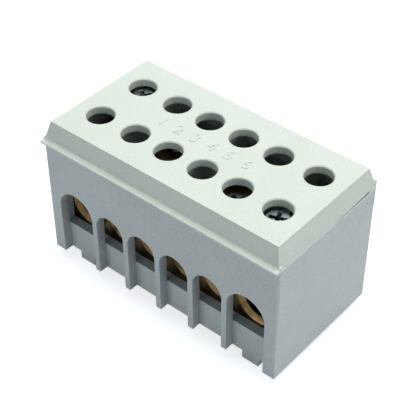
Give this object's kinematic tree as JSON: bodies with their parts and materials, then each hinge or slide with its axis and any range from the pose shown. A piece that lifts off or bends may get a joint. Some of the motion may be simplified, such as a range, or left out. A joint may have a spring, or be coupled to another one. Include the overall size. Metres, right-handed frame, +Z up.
{
  "type": "power distribution block",
  "caption": "Moulded grey distribution block: a solid brass terminal bar with clamp screws, arched wire entries on both long sides and a plug-in cover with driver holes.",
  "frame": {"origin": "under the middle of the block, at the undersides of its four feet", "axes": "+Z up through the screwdriver holes, +X along the row of wire entries, -Y towards the lip side of the cover"},
  "size_m": [0.065, 0.0356, 0.0386],
  "materials": {
    "housing_plastic": "fine spark texture, satin",
    "cover_plastic": "fine spark texture, satin",
    "terminal_brass": "machined, dull",
    "screw_zinc": "zinc plated, bright"
  },
  "bodies": {
    "block": {"base_housing": "housing_plastic", "cover": "cover_plastic", "terminal_bar": "terminal_brass"},
    "clamp_screw_front_1": {"clamp_screw_front_1": "screw_zinc"},
    "clamp_screw_front_2": {"clamp_screw_front_2": "screw_zinc"},
    "clamp_screw_front_3": {"clamp_screw_front_3": "screw_zinc"},
    "clamp_screw_front_4": {"clamp_screw_front_4": "screw_zinc"},
    "clamp_screw_front_5": {"clamp_screw_front_5": "screw_zinc"},
    "clamp_screw_front_6": {"clamp_screw_front_6": "screw_zinc"},
    "clamp_screw_rear_1": {"clamp_screw_rear_1": "screw_zinc"},
    "clamp_screw_rear_2": {"clamp_screw_rear_2": "screw_zinc"},
    "clamp_screw_rear_3": {"clamp_screw_rear_3": "screw_zinc"},
    "clamp_screw_rear_4": {"clamp_screw_rear_4": "screw_zinc"},
    "clamp_screw_rear_5": {"clamp_screw_rear_5": "screw_zinc"},
    "clamp_screw_rear_6": {"clamp_screw_rear_6": "screw_zinc"}
  },
  "joints": [
    {"name": "screw_travel_front_1", "type": "slide", "parent": "block", "child": "clamp_screw_front_1", "axis": [0, 0, 1], "range_m": [-0.0084, 0.0054]},
    {"name": "screw_travel_front_2", "type": "slide", "parent": "block", "child": "clamp_screw_front_2", "axis": [0, 0, 1], "range_m": [-0.0074, 0.0047]},
    {"name": "screw_travel_front_3", "type": "slide", "parent": "block", "child": "clamp_screw_front_3", "axis": [0, 0, 1], "range_m": [-0.0078, 0.0043]},
    {"name": "screw_travel_front_4", "type": "slide", "parent": "block", "child": "clamp_screw_front_4", "axis": [0, 0, 1], "range_m": [-0.0073, 0.0048]},
    {"name": "screw_travel_front_5", "type": "slide", "parent": "block", "child": "clamp_screw_front_5", "axis": [0, 0, 1], "range_m": [-0.0092, 0.0029]},
    {"name": "screw_travel_front_6", "type": "slide", "parent": "block", "child": "clamp_screw_front_6", "axis": [0, 0, 1], "range_m": [-0.012, 0.0018]},
    {"name": "screw_travel_rear_1", "type": "slide", "parent": "block", "child": "clamp_screw_rear_1", "axis": [0, 0, 1], "range_m": [-0.0121, 0.0017]},
    {"name": "screw_travel_rear_2", "type": "slide", "parent": "block", "child": "clamp_screw_rear_2", "axis": [0, 0, 1], "range_m": [-0.0074, 0.0047]},
    {"name": "screw_travel_rear_3", "type": "slide", "parent": "block", "child": "clamp_screw_rear_3", "axis": [0, 0, 1], "range_m": [-0.0067, 0.0054]},
    {"name": "screw_travel_rear_4", "type": "slide", "parent": "block", "child": "clamp_screw_rear_4", "axis": [0, 0, 1], "range_m": [-0.0082, 0.0039]},
    {"name": "screw_travel_rear_5", "type": "slide", "parent": "block", "child": "clamp_screw_rear_5", "axis": [0, 0, 1], "range_m": [-0.0078, 0.0043]},
    {"name": "screw_travel_rear_6", "type": "slide", "parent": "block", "child": "clamp_screw_rear_6", "axis": [0, 0, 1], "range_m": [-0.0097, 0.0041]}
  ]
}
